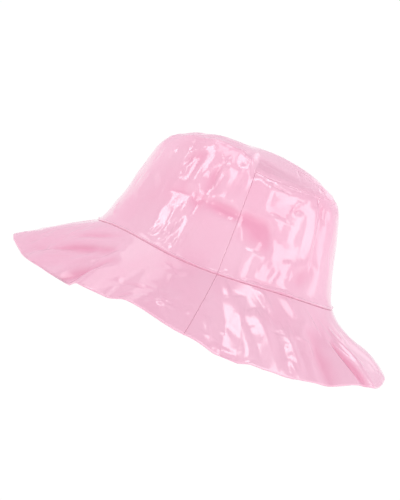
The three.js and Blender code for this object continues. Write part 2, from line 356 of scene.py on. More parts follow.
    def top(self, turn: np.ndarray, out: np.ndarray) -> np.ndarray:
        """Upper side of the oval top, in the crown's own frame.

        Args:
            turn: places round it.
            out: shares of the way out from its middle.

        Returns:
            One row for each place.
        """
        back, right = out * np.cos(np.radians(turn)), out * np.sin(np.radians(turn))
        inside = 1 - out**3
        rise = inside + 0.0
        for swell in self.swells:
            away = np.hypot(back - swell.back, right - swell.right) / swell.size
            rise = rise + swell.rise * np.exp(-(away**2)) * inside
        edge = self.crown_height * round_table(self.top_edge_waves, turn) * out**3
        x = (self.head_length / 2 - self.crown_taper) * back + self.crown_slump
        y = (self.head_width / 2 - self.crown_taper) * right
        return np.stack([x, y, self.crown_height + edge + self.top_rise * rise], axis=-1)

    def brim_fold(self, turn: np.ndarray, out: np.ndarray) -> np.ndarray:
        """Height of the brim's large folds.

        Args:
            turn: places round the brim.
            out: shares of the way out.

        Returns:
            The height at each place.
        """
        height = 0.0 * turn
        for fold in self.folds:
            away = turn_between(fold.turn + fold.swing * (1 - out), turn)
            flank = np.where(away < 0, fold.before, fold.after)
            share = smoothstep(out, fold.start, self.fold_end) * np.exp(-((away / flank) ** 2))
            height = height + fold.height * share
        return self.brim_width * height

    def brim(self, turn: np.ndarray, out: np.ndarray) -> np.ndarray:
        """Upper side of the brim.

        Args:
            turn: places round the brim.
            out: shares of the way out.

        Returns:
            One row for each place.
        """
        waves = self.crown_height * round_table(self.seam_waves, turn)
        point = self.settled(self.oval(turn, 0.0, waves))
        angle = np.radians(turn)
        away = np.stack([np.cos(angle) * self.head_width, np.sin(angle) * self.head_length], axis=-1)
        away = away / np.linalg.norm(away, axis=-1, keepdims=True)
        lift = self.seam_height * round_table(self.hem_waves, turn)
        drop = point[..., 2] - np.maximum(0.0, lift - self.hem_press)
        reach = np.sqrt(self.brim_width**2 - drop**2)
        near_crown = round_table(self.bows_by_crown, turn) * out * (1 - out) ** 2
        near_hem = round_table(self.bows_by_hem, turn) * out**2 * (1 - out)
        fold = self.brim_fold(turn, out)
        bow = 3 * self.brim_width * (near_crown + near_hem) + fold * (1 - out**4)
        run = reach * out + bow * drop / self.brim_width + fold * out**4
        point[..., :2] += away * run[..., None]
        point[..., 2] += bow * reach / self.brim_width - drop * out
        return point

    def middle(self) -> np.ndarray:
        """Finds the middle of the hat's box on the floor.

        Returns:
            Its place, measured from below the crown's own middle.
        """
        turn = np.linspace(0.0, FULL_TURN, MIDDLE_STEPS)
        hem = self.brim(turn, np.ones_like(turn))
        middle = (hem.min(0) + hem.max(0)) / 2
        middle[2] = 0.0
        return middle


@dataclass(frozen=True)
class Crease:
    """Crease of the sheet on a straight line across a panel.

    Ends are (turn, share) pairs, and share runs up the crown and out across the brim. height is in
    millimetres and below zero for a groove. left and right are the widths of its two flanks, in
    millimetres, seen along the line from outside.
    """

    start: tuple[float, float]
    end: tuple[float, float]
    height: float
    left: float
    right: float


@dataclass(frozen=True)
class FineWrinkles:
    """Many small random creases over a panel, or over a part of it, at leans between two angles.

    long, wide and height are in millimetres. Each crease takes shares of them within sizes and
    heights, and its second flank is wider than its first by a share within skews.
    """

    seed: int
    count: int
    long: float
    wide: float
    height: float
    turns: tuple[float, float] | None = None
    shares: tuple[float, float] = (0.02, 0.98)
    leans: tuple[float, float] = (0.0, 180.0)
    sizes: tuple[float, float] = (0.5, 1.5)
    skews: tuple[float, float] = (0.4, 2.5)
    heights: tuple[float, float] = (0.3, 1.0)


@dataclass(frozen=True)
class Unrolled:
    """Flat measure of a panel, in millimetres, in which its creases are laid out."""

    radius_inner: float
    radius_outer: float
    length: float
    outwards: bool

    def radius(self, share: np.ndarray | float) -> np.ndarray | float:
        """Radius of the panel at a share up or out."""
        return self.radius_inner + (self.radius_outer - self.radius_inner) * share

    def place(self, turn: np.ndarray | float, share: np.ndarray | float, about: float) -> tuple:
        """Place on the unrolled panel.

        Args:
            turn: turn of the place.
            share: share of the place.
            about: turn that lies on the line x = 0.

        Returns:
            x towards larger turns and y upwards as the panel hangs.
        """
        x = np.radians(turn_between(about, turn)) * self.radius(share)
        return x, (-self.length if self.outwards else self.length) * share


@dataclass
class Relief:
    """Small relief of a panel: its own creases and its fine wrinkles.

    span is the first and the last turn of the panel. A crease's crest is rounded by sharp, a share of
    its flank, and end_fade says how quickly it rises from its ends.
    """

    plan: Unrolled
    creases: tuple[Crease, ...]
    fine: tuple[FineWrinkles, ...]
    span: tuple[float, float]
    sharp: float = 0.15
    end_fade: float = 0.8

    def crease_height(self, crease: Crease, turn: np.ndarray, share: np.ndarray) -> np.ndarray:
        """Height of one crease.

        Args:
            crease: the crease.
            turn: places round the panel.
            share: shares up or out.

        Returns:
            The height at each place.
        """
        about = crease.start[0]
        x0, y0 = self.plan.place(*crease.start, about)
        x1, y1 = self.plan.place(*crease.end, about)
        x, y = self.plan.place(turn, share, about)
        length = math.hypot(x1 - x0, y1 - y0)
        dx, dy = (x1 - x0) / length, (y1 - y0) / length
        along = ((x - x0) * dx + (y - y0) * dy) / length
        aside = (y - y0) * dx - (x - x0) * dy
        flank = np.where(aside > 0, crease.left, crease.right)
        taper = np.clip(1.0 - (2.0 * along - 1.0) ** 2, 0.0, 1.0) ** self.end_fade
        slope = np.maximum(1.0 + self.sharp - np.sqrt((aside / flank) ** 2 + self.sharp**2), 0.0)
        return crease.height * MM * taper * (1.0 + self.sharp) * slope**2 / (slope + self.sharp)

    def fine_height(self, fine: FineWrinkles, turn: np.ndarray, share: np.ndarray) -> np.ndarray:
        """Height of the fine wrinkles.

        Args:
            fine: their sizes.
            turn: places round the panel.
            share: shares up or out.

        Returns:
            The height at each place.
        """
        random = np.random.default_rng(fine.seed)
        height = 0.0 * turn
        for _ in range(fine.count):
            start = random.uniform(*(fine.turns or self.span)), random.uniform(*fine.shares)
            lean = math.radians(random.uniform(*fine.leans))
            long = fine.long * random.uniform(*fine.sizes)
            end = (
                start[0] + math.degrees(long * math.cos(lean) / self.plan.radius(start[1])),
                start[1] + long * math.sin(lean) / self.plan.length,
            )
            wide = fine.wide * random.uniform(*fine.sizes)
            skew = random.uniform(*fine.skews)
            sign = random.choice([-1.0, 1.0])
            crest = sign * fine.height * random.uniform(*fine.heights)
            height += self.crease_height(Crease(start, end, crest, wide, wide * skew), turn, share)
        return height

    def height(self, turn: np.ndarray, share: np.ndarray) -> np.ndarray:
        """Whole relief.

        Args:
            turn: places round the panel.
            share: shares up or out.

        Returns:
            The height at each place.
        """
        height = 0.0 * turn
        for crease in self.creases:
            height += self.crease_height(crease, turn, share)
        for fine in self.fine:
            height += self.fine_height(fine, turn, share)
        return height


@dataclass(frozen=True)
class EdgeRoll:
    """How the sheet turns in at a seam or a hem, with the puckered welt beside it.

    Each kind of edge has its depth and its steepness, as shares of a full roll. rows are the distances
    of the grid's close lines from an edge, in millimetres. The welt's puckers are waves of a length, a
    phase and a share each. The painted seam shade at the side and rim seams is narrower than at the
    brim seam by narrow.
    """

    radius: float = 1.2 * MM
    side: tuple[float, float] = (0.35, 1.6)
    brim_seam: tuple[float, float] = (0.8, 1.2)
    rim: tuple[float, float] = (0.5, 1.6)
    hem: tuple[float, float] = (1.0, 1.0)
    welt: float = 0.8 * MM
    welt_peak: float = 3.4 * MM
    welt_to: float = 6.4 * MM
    rim_welt: float = 0.4
    pucker: float = 0.35
    pucker_waves: tuple = ((0.7 * MM, 0.0, 0.4), (1.57 * MM, 1.0, 0.6))
    narrow: float = 3.0
    rows: tuple[float, ...] = (0.0, 0.1, 0.25, 0.45, 0.7, 1.0, 1.4, 1.9, 2.5, 3.2, 4.0)

    def depth(self, kind: tuple[float, float], away: np.ndarray) -> np.ndarray:
        """How deep the sheet has turned in near an edge.

        Args:
            kind: the edge's depth and steepness.
            away: distance from it.

        Returns:
            The depth at each place, below zero.
        """
        share, steepness = kind
        inside = np.clip(self.radius - steepness * away, 0.0, self.radius)
        return share * (np.sqrt(self.radius**2 - inside**2) - self.radius)

    def welt_height(self, away: np.ndarray, round_way: np.ndarray) -> np.ndarray:
        """Height of the welt over the seam's turned-in edges.

        Args:
            away: distance from the seam.
            round_way: distance along the seam, in metres.

        Returns:
            The height at each place.
        """
        rise = smoothstep(away, 0.0, self.welt_peak)
        fall = 1.0 - smoothstep(away, self.welt_peak, self.welt_to)
        wave = sum(np.sin(round_way / length + phase) * share for length, phase, share in self.pucker_waves)
        return self.welt * rise * fall * (1.0 + self.pucker * wave)


def line_shares(count: int, length: float, rows: tuple[float, ...]) -> np.ndarray:
    """Shares of a grid's lines, close together beside its two edges.

    Args:
        count: number of cells.
        length: size of the panel in this direction.
        rows: distances of the close lines from an edge, in millimetres.

    Returns:
        count + 1 shares from 0 to 1.
    """
    near = np.array(rows) * MM / length
    inner = count + 1 - 2 * len(near)
    middle = np.linspace(near[-1], 1.0 - near[-1], inner + 2)[1:-1]
    return np.concatenate([near, middle, 1.0 - near[::-1]])


def round_place(a: np.ndarray, b: np.ndarray) -> tuple[np.ndarray, np.ndarray]:
    """Place on a round plate of each place of a square one, both from -1 to 1.

    Args:
        a: places the first way.
        b: places the second way.

    Returns:
        The share of the way out and the turn.
    """
    tiny = 1e-12
    out = np.maximum(np.abs(a), np.abs(b))
    safe = np.maximum(out, 1e-9)
    sideways = np.abs(a) >= np.abs(b)
    near_a = 45.0 * b / safe * np.sign(a + tiny)
    near_b = 90.0 - 45.0 * a / safe * np.sign(b + tiny)
    turn = np.where(sideways, near_a, near_b)
    turn = np.where(sideways & (a < 0), 180.0 + turn, turn)
    return out, np.where(~sideways & (b < 0), 180.0 + turn, turn)


def normals_of(surface: Field, s: np.ndarray, t: np.ndarray) -> np.ndarray:
    """Unit normals of a surface.

    Args:
        surface: points at places s and t.
        s: places the first way.
        t: places the second way.

    Returns:
        One unit row for each place.
    """
    along = surface(s + NORMAL_STEP, t) - surface(s - NORMAL_STEP, t)
    up = surface(s, t + NORMAL_STEP) - surface(s, t - NORMAL_STEP)
    normal = np.cross(along, up)
    return normal / np.linalg.norm(normal, axis=-1, keepdims=True)


@dataclass
class CutPiece:
    """One cut piece of the sheet: a fine grid that is bent into shape, thickened and finished."""

    name: str
    node: str
    columns: int
    rows: int
    wall: float = 1.1 * MM

    def grid(self) -> tuple[bpy.types.Mesh, np.ndarray, np.ndarray]:
        """Flat grid, with the column and the row of each of its vertices.

        Returns:
            The mesh, and each vertex's column and row.
        """
        shape = bmesh.new()
        bmesh.ops.create_grid(shape, x_segments=self.columns, y_segments=self.rows, size=0.5)
        mesh = bpy.data.meshes.new(self.name)
        shape.to_mesh(mesh)
        shape.free()
        flat = np.zeros(len(mesh.vertices) * 3)
        mesh.vertices.foreach_get("co", flat)
        flat = flat.reshape(-1, 3)
        column = np.rint((flat[:, 0] + 0.5) * self.columns).astype(int)
        row = np.rint((flat[:, 1] + 0.5) * self.rows).astype(int)
        return mesh, column, row

    def made(
        self, mesh: bpy.types.Mesh, points: np.ndarray, place: np.ndarray, marks: dict[str, np.ndarray]
    ) -> bpy.types.Object:
        """Moves the grid's vertices to their places and makes the object.

        Args:
            mesh: the flat grid.
            points: where its vertices go.
            place: each vertex's place on the flat sheet, in metres.
            marks: each vertex's values for the finish, by name.

        Returns:
            The thickened piece.
        """
        mesh.vertices.foreach_set("co", points.astype(np.float32).ravel())
        for name, values in marks.items():
            mark = mesh.attributes.new(name, "FLOAT", "POINT")
            mark.data.foreach_set("value", values.astype(np.float32))
        corner = np.zeros(len(mesh.loops), dtype=np.int32)
        mesh.loops.foreach_get("vertex_index", corner)
        layer = mesh.uv_layers.new(name=FLAT_PLACE)
        layer.data.foreach_set("uv", place[corner].astype(np.float32).ravel())
        mesh.shade_smooth()
        mesh.update()
        piece = bpy.data.objects.new(self.name, mesh)
        bpy.context.scene.collection.objects.link(piece)
        wall = piece.modifiers.new("wall", "SOLIDIFY")
        wall.thickness = self.wall
        wall.offset = -1.0
        wall.use_rim = True
        wall.material_offset = 1
        wall.material_offset_rim = 0
        return piece

    def placed(self, piece: bpy.types.Object, finishes: tuple[bpy.types.Material, ...]) -> None:
        """Dresses the piece and puts it on the frame.

        Args:
            piece: the piece.
            finishes: the outer and the inner finish.
        """
        for finish in finishes:
            piece.data.materials.append(finish)
        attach(piece, BODY)
        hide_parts(self.node)


class Socket:
    """Wraps a value socket, so that shader maths reads as an expression."""

    def __init__(self, nodes: Nodes, socket: bpy.types.NodeSocket) -> None:
        """Keeps the tree and the socket.

        Args:
            nodes: the tree the socket is in.
            socket: the output socket.
        """
        self.nodes = nodes
        self.socket = socket

    def _math(self, operation: str, *values: Socket | float) -> Socket:
        """Adds one Math node."""
        return self.nodes.node("ShaderNodeMath", {"operation": operation}, dict(enumerate(values)))

    def __add__(self, other: Socket | float) -> Socket:
        """This plus another."""
        return self._math("ADD", self, other)

    __radd__ = __add__

    def __sub__(self, other: Socket | float) -> Socket:
        """This less another."""
        return self._math("SUBTRACT", self, other)

    def __rsub__(self, other: float) -> Socket:
        """A number less this."""
        return self._math("SUBTRACT", other, self)

    def __mul__(self, other: Socket | float) -> Socket:
        """This times another."""
        return self._math("MULTIPLY", self, other)

    __rmul__ = __mul__

    def ramp(self, low: float, high: float, at_low: float = 0.0, at_high: float = 1.0) -> Socket:
        """Eased step between two values.

        Args:
            low: where it starts.
            high: where it ends.
            at_low: what it gives below.
            at_high: what it gives above.

        Returns:
            The stepped value.
        """
        values = {"Value": self, "From Min": low, "From Max": high, "To Min": at_low, "To Max": at_high}
        return self.nodes.node("ShaderNodeMapRange", {"interpolation_type": "SMOOTHSTEP"}, values)


class Nodes:
    """Node tree of a finish or of the sky."""

    def __init__(self, tree: bpy.types.NodeTree) -> None:
        """Keeps the tree and empties it.

        Args:
            tree: the tree.
        """
        self.tree = tree
        self.tree.nodes.clear()

    def added(self, kind: str, settings: dict, inputs: dict) -> bpy.types.Node:
        """Adds a node.

        Args:
            kind: the node's type.
            settings: its properties.
            inputs: values or links of its sockets, by name or number.

        Returns:
            The node.
        """
        made = self.tree.nodes.new(kind)
        for key, value in settings.items():
            setattr(made, key, value)
        for key, value in inputs.items():
            if isinstance(value, Socket):
                self.tree.links.new(value.socket, made.inputs[key])
            else:
                made.inputs[key].default_value = value
        return made

    def node(self, kind: str, settings: dict, inputs: dict, output: int | str = 0) -> Socket:
        """Adds a node and wraps one of its outputs.

        Args:
            kind: the node's type.
            settings: its properties.
            inputs: values or links of its sockets, by name or number.
            output: which output to give back.

        Returns:
            The wrapped output.
        """
        return Socket(self, self.added(kind, settings, inputs).outputs[output])

    def blend(self, factor: Socket, first: Socket | tuple, second: Socket | tuple) -> Socket:
        """Mixes two colours.

        Args:
            factor: share of the second.
            first: colour at 0.
            second: colour at 1.

        Returns:
            The mixed colour.
        """
        inputs = {"Factor": factor, 6: first, 7: second}
        return self.node("ShaderNodeMix", {"data_type": "RGBA"}, inputs, 2)

    def noise(self, where: Socket, scale: float, detail: float, roughness: float = 0.5) -> Socket:
        """Noise on a vector.

        Args:
            where: the coordinates.
            scale: waves for each metre.
            detail: octaves.
            roughness: weight of the finer octaves.

        Returns:
            Its value.
        """
        inputs = {"Vector": where, "Scale": scale, "Detail": detail, "Roughness": roughness}
        return self.node("ShaderNodeTexNoise", {}, inputs, 0)


class Shader(Nodes):
    """Node tree of one material."""

    def __init__(self, name: str) -> None:
        """Starts an empty material.

        Args:
            name: the material's name.
        """
        self.material = bpy.data.materials.new(name)
        self.material.use_nodes = True
        super().__init__(self.material.node_tree)

    def finish(self, surface: Socket) -> bpy.types.Material:
        """Ends the tree with a surface and gives the material."""
        self.added("ShaderNodeOutputMaterial", {}, {"Surface": surface})
        return self.material


@dataclass(frozen=True)
class CoatedFinish:
    """Glossy coated sheet: clear wet-look coat over soft pink, with painted shade in its hollows and at its
    seams.

    Scales are waves for each metre.
    """

    base: tuple = (0.935, 0.48, 0.645, 1.0)
    pale: tuple = (0.945, 0.53, 0.685, 1.0)
    # deep is painted shade for the hollows of folds.
    deep: tuple = (0.88, 0.30, 0.48, 1.0)
    # seam is painted shade along the seams.
    seam: tuple = (0.84, 0.30, 0.46, 1.0)
    cloud_scale: float = 22.0
    cloud_edges: tuple[float, float] = (0.35, 0.68)
    hollow_shade_reach: float = 2.6 * MM
    hollow_shade_share: float = 0.75
    seam_shade_reach: float = 1.1 * MM
    seam_shade_share: float = 0.5
    ripple_scale: float = 140.0
    ripple_height: float = 0.35 * MM
    grain_scale: float = 1400.0
    grain_height: float = 0.012 * MM
    bump_strength: float = 0.5
    rough_scale: float = 60.0
    rough_edges: tuple[float, float] = (0.3, 0.7)
    roughness: tuple[float, float] = (0.37, 0.48)
    sheet_index: float = 1.45
    coat: float = 1.0
    coat_roughness: float = 0.13
    coat_index: float = 1.75

    def colour(self, shader: Shader, where: Socket) -> Socket:
        """Colours the sheet, with painted shade in the hollows of its folds and along its seams.

        Args:
            shader: the tree to add to.
            where: the coordinates.

        Returns:
            The colour.
        """
        cloud = shader.noise(where, self.cloud_scale, 3.0)
        colour = shader.blend(cloud.ramp(*self.cloud_edges), self.base, self.pale)
        # Painted shade: the sheet turns a deeper pink where its folds are hollow.
        depth = shader.node("ShaderNodeAttribute", {"attribute_name": FOLD_DEPTH}, {}, "Fac")
        hollow_shade = depth.ramp(0.0, self.hollow_shade_reach, 0.0, self.hollow_shade_share)
        colour = shader.blend(hollow_shade, colour, self.deep)
        # Painted shade: the sheet turns darker close to its seams.
        edge = shader.node("ShaderNodeAttribute", {"attribute_name": SEAM_DISTANCE}, {}, "Fac")
        seam = edge.ramp(0.0, self.seam_shade_reach, self.seam_shade_share, 0.0)
        return shader.blend(seam, colour, self.seam)

    def material(self) -> bpy.types.Material:
        """Builds the material.

        Returns:
            The outer finish.
        """
        shader = Shader("coated_sheet")
        where = shader.node("ShaderNodeTexCoord", {}, {}, "Object")
        colour = self.colour(shader, where)
        ripple = shader.noise(where, self.ripple_scale, 2.0) * self.ripple_height
        height = ripple + shader.noise(where, self.grain_scale, 2.0, 0.6) * self.grain_height
        relief = {"Height": height, "Distance": 1.0, "Strength": self.bump_strength}
        rough = shader.noise(where, self.rough_scale, 3.0).ramp(*self.rough_edges, *self.roughness)
        look = {
            "Base Color": colour,
            "Roughness": rough,
            "IOR": self.sheet_index,
            "Coat Weight": self.coat,
            "Coat Roughness": self.coat_roughness,
            "Coat IOR": self.coat_index,
            "Normal": shader.node("ShaderNodeBump", {}, relief),
        }
        return shader.finish(shader.node("ShaderNodeBsdfPrincipled", {}, look))


@dataclass(frozen=True)
class BackingFinish:
    """Knitted backing on the sheet's inner side, in ribs."""

    thread: tuple = (0.86, 0.55, 0.67, 1.0)
    gap: tuple = (0.70, 0.36, 0.48, 1.0)
    rib_scale: float = 900.0
    rib_distortion: float = 1.5
    rib_edges: tuple[float, float] = (0.2, 0.8)
    rib_height: float = 0.08 * MM
    bump_strength: float = 0.6
    roughness: float = 0.9

    def material(self) -> bpy.types.Material:
        """Builds the material.

        Returns:
            The inner finish.
        """
        shader = Shader("knitted_backing")
        place = shader.node("ShaderNodeUVMap", {"uv_map": FLAT_PLACE}, {})
        waves = {"Vector": place, "Scale": self.rib_scale, "Distortion": self.rib_distortion}
        rib = shader.node("ShaderNodeTexWave", {"wave_type": "BANDS"}, waves, "Fac")
        colour = shader.blend(rib.ramp(*self.rib_edges), self.gap, self.thread)
        relief = {"Height": rib * self.rib_height, "Distance": 1.0, "Strength": self.bump_strength}
        bump = shader.node("ShaderNodeBump", {}, relief)
        look = {"Base Color": colour, "Roughness": self.roughness, "Normal": bump}
        return shader.finish(shader.node("ShaderNodeBsdfPrincipled", {}, look))


@dataclass(frozen=True)
class TopWrinkles:
    """Small random wrinkles of the oval top: places and sizes are shares of its half sizes.

    Their distance from the middle is the root of a number within spread, and heights are millimetres.
    """

    seed: int = 21
    count: int = 110
    spread: tuple[float, float] = (0.2, 0.97)
    lengths: tuple[float, float] = (0.06, 0.25)
    widths: tuple[float, float] = (0.015, 0.05)
    heights: tuple[float, float] = (-0.55, 0.4)
    crest: float = 1.6

    def height(self, x: np.ndarray, y: np.ndarray) -> np.ndarray:
        """Height of the wrinkles.

        Args:
            x: places the first way.
            y: places the second way.

        Returns:
            The height at each place.
        """
        random = np.random.default_rng(self.seed)
        height = 0.0 * x
        for _ in range(self.count):
            far, bearing = random.uniform(*self.spread) ** 0.5, random.uniform(0, 2 * math.pi)
            lean = random.uniform(0, math.pi)
            long, wide = random.uniform(*self.lengths), random.uniform(*self.widths)
            dx, dy = x - far * math.cos(bearing), y - far * math.sin(bearing)
            along = (dx * math.cos(lean) + dy * math.sin(lean)) / long
            aside = np.abs(dy * math.cos(lean) - dx * math.sin(lean)) / wide
            height += random.uniform(*self.heights) * MM * np.exp(-(along**2) - aside**self.crest)
        return height


@dataclass
class Crown:
    """Crown of the hat: two wall panels and the oval top.

    shift is where the middle of the hat's box lies. panel_width is a wall's flat width, and top_sizes
    are the half sizes of the flat top. The small relief starts within the fades from the edges.
    """

    form: HatForm
    shift: np.ndarray
    roll: EdgeRoll = field(default_factory=EdgeRoll)
    columns: int = 300
    rows: int = 110
    top_cells: int = 190
    panel_width: float = 285 * MM
    seam_fade: float = 4.5 * MM
    side_fade: float = 4 * MM
    top_radius: float = 64 * MM
    top_sizes: tuple[float, float] = (71 * MM, 57 * MM)
    top_fade: float = 3 * MM
    top_wrinkles: TopWrinkles = TopWrinkles()
    plan: Unrolled = Unrolled(93.0, 66.0, 87.0, False)
    creases: tuple[Crease, ...] = (
        Crease((249.0, 0.04), (250.0, 0.46), 2.0, 9.0, 3.0),
        Crease((243.0, -0.02), (244.0, 0.32), 0.9, 9.0, 5.0),
        Crease((241.8, 0.1), (245.6, 0.44), -0.6, 2.5, 2.5),
        Crease((244.0, 0.52), (252.0, 0.53), -0.6, 4.0, 4.0),
        Crease((226.0, 0.51), (247.0, 0.55), -1.3, 6.0, 6.0),
        Crease((231.0, 0.54), (233.5, 0.72), 0.5, 5.0, 9.0),
        Crease((240.0, 0.54), (242.0, 0.76), 0.6, 4.0, 8.0),
        Crease((228.0, 0.74), (241.0, 0.75), -0.5, 6.0, 5.0),
        Crease((252.5, 0.54), (255.5, 0.82), 0.7, 2.5, 2.0),
        Crease((261.0, 0.56), (264.5, 0.86), 0.9, 7.0, 3.0),
        Crease((249.5, 0.56), (256.0, 0.575), 0.5, 1.5, 2.0),
        Crease((266.0, 0.58), (270.3, 0.84), 0.8, 2.0, 4.0),
        Crease((253.0, 0.55), (272.0, 0.53), -1.2, 4.0, 5.0),
        Crease((271.0, 0.57), (294.0, 0.4), -1.9, 5.0, 12.0),
        Crease((273.5, 0.5), (277.5, 0.4), 0.5, 1.5, 1.5),
        Crease((283.0, 0.875), (297.0, 0.845), -0.7, 2.0, 2.0),
        Crease((282.0, 0.64), (283.0, 0.92), 0.5, 2.0, 4.0),
        Crease((299.5, 0.67), (303.0, 0.8), 0.6, 2.0, 2.0),
        Crease((301.5, 0.775), (306.0, 0.79), 0.4, 1.5, 1.5),
        Crease((284.0, 0.655), (305.0, 0.635), -1.1, 4.0, 3.0),
        Crease((288.0, 0.64), (295.5, 0.36), 0.9, 7.0, 3.5),
        Crease((317.0, 0.42), (317.8, 0.8), 1.7, 9.0, 3.0),
        Crease((298.0, 0.33), (320.0, 0.42), 1.4, 4.0, 10.0),
        Crease((278.5, 0.375), (291.0, 0.345), 0.8, 2.5, 4.5),
        Crease((280.3, 0.06), (281.0, 0.38), 1.0, 2.5, 6.0),
        Crease((303.5, -0.05), (303.5, 0.44), 1.9, 13.0, 14.0),
        Crease((296.5, 0.14), (300.0, 0.3), -0.5, 1.5, 1.5),
        Crease((319.0, 0.78), (319.8, 1.04), -1.3, 1.5, 2.0),
        Crease((273.8, 0.06), (275.0, 0.16), 0.5, 2.0, 2.0),
        Crease((283.0, 0.125), (309.0, 0.12), -0.9, 2.5, 3.0),
        Crease((283.0, 0.01), (284.0, 0.1), -0.4, 1.0, 1.2),
        Crease((288.5, 0.01), (289.0, 0.09), -0.35, 1.0, 1.0),
        Crease((294.0, 0.01), (294.8, 0.1), -0.4, 1.0, 1.2),
        Crease((300.0, 0.01), (300.6, 0.1), -0.4, 1.0, 1.0),
        Crease((240.0, 0.06), (268.0, 0.05), 0.45, 2.0, 3.0),
        Crease((266.0, 0.12), (267.0, 0.2), 0.4, 1.2, 1.2),
    )
    fine: tuple[FineWrinkles, ...] = (
        FineWrinkles(11, 60, 22.0, 5.5, 0.35),
        FineWrinkles(12, 90, 10.0, 2.2, 0.12),
        FineWrinkles(51, 22, 10.0, 2.4, 0.6, (232, 251), (0.14, 0.48), (68, 100)),
        FineWrinkles(52, 24, 8.0, 2.2, 0.5, (227, 256), (0.6, 0.96), (50, 130)),
        FineWrinkles(53, 12, 9.0, 2.0, 0.4, (251, 265), (0.56, 0.82), (60, 110)),
        FineWrinkles(54, 16, 10.0, 2.2, 0.4, (282, 306), (0.66, 0.9), (0, 180)),
        FineWrinkles(55, 12, 9.0, 2.0, 0.4, (288, 306), (0.1, 0.3), (50, 120)),
        FineWrinkles(56, 90, 14.0, 2.6, 0.5, (330, 580), (0.1, 0.9), (20, 160)),
    )

    def relief(self, span: Span) -> Relief:
        """Relief of one wall panel."""
        return Relief(self.plan, self.creases, self.fine, span.turns(self.form.side_turn))

    def wall(self, span: Span, finishes: tuple[bpy.types.Material, ...]) -> bpy.types.Object:
        """Builds one wall panel.

        Args:
            span: which half it covers.
            finishes: the outer and the inner finish.

        Returns:
            The dressed panel.
        """
        cut = CutPiece(f"crown_{span.value}_sheet", f"crown_{span.value}", self.columns, self.rows)
        mesh, column, row = cut.grid()
        width, height = self.panel_width, self.plan.length * MM
        s = line_shares(self.columns, width, self.roll.rows)[column]
        t = line_shares(self.rows, height, self.roll.rows)[row]
        first, last = span.turns(self.form.side_turn)

        def surface(a: np.ndarray, b: np.ndarray) -> np.ndarray:
            """Wall at places from 0 to 1."""
            return self.form.crown(first + (last - first) * a, b)

        points, normals = surface(s, t), normals_of(surface, s, t)
        side, foot, rim = np.minimum(s, 1 - s) * width, t * height, (1 - t) * height
        relief = self.relief(span).height(first + (last - first) * s, t)
        relief *= smoothstep(np.minimum(foot, rim), 0.0, self.seam_fade)
        relief *= smoothstep(side, 0.0, self.side_fade)
        rise = spline(np.array(self.form.outline), t)[..., 0]
        # Depth of the hollows, which sets the painted shade in them.
        hollow_shade = -relief - self.form.crown_dent(first + (last - first) * s, rise)
        roll = self.roll
        relief += roll.welt_height(foot, s * width) + roll.rim_welt * roll.welt_height(rim, s * width)
        relief += roll.depth(roll.side, side) + roll.depth(roll.brim_seam, foot) + roll.depth(roll.rim, rim)
        points = self.form.settled(points + normals * relief[:, None]) - self.shift
        # Distance from the seams, which sets the painted seam shade.
        edge = np.minimum(foot, roll.narrow * np.minimum(rim, side))
        place = np.stack([s * width, foot], -1)
        piece = cut.made(mesh, points, place, {SEAM_DISTANCE: edge, FOLD_DEPTH: hollow_shade})
        cut.placed(piece, finishes)
        return piece

    def top(self, finishes: tuple[bpy.types.Material, ...]) -> bpy.types.Object:
        """Builds the oval top.

        Args:
            finishes: the outer and the inner finish.

        Returns:
            The dressed top.
        """
        cut = CutPiece("crown_top_sheet", "crown_top", self.top_cells, self.top_cells)
        mesh, column, row = cut.grid()
        radius = self.form.head_width / 2 - self.form.crown_taper
        lines = 2 * line_shares(self.top_cells, 2 * radius, self.roll.rows) - 1
        out, turn = round_place(lines[column], lines[row])

        def surface(x: np.ndarray, y: np.ndarray) -> np.ndarray:
            """Top at places of the round plate."""
            return self.form.top(np.degrees(np.arctan2(y, x)), np.hypot(x, y))

        x, y = out * np.cos(np.radians(turn)), out * np.sin(np.radians(turn))
        points, normals = surface(x, y), normals_of(surface, x, y)
        away = (1 - out) * radius
        relief = self.top_wrinkles.height(x, y) * smoothstep(away, 0.0, self.top_fade)
        # Marks for the painted shade at the rim seam and in the hollows of the wrinkles.
        marks = {SEAM_DISTANCE: self.roll.narrow * away, FOLD_DEPTH: -relief}
        relief += self.roll.rim_welt * self.roll.welt_height(away, np.radians(turn) * self.top_radius)
        relief += self.roll.depth(self.roll.rim, away)
        points = self.form.settled(points + normals * relief[:, None]) - self.shift
        piece = cut.made(mesh, points, np.stack([x, y], -1) * self.top_sizes, marks)
        cut.placed(piece, finishes)
        return piece


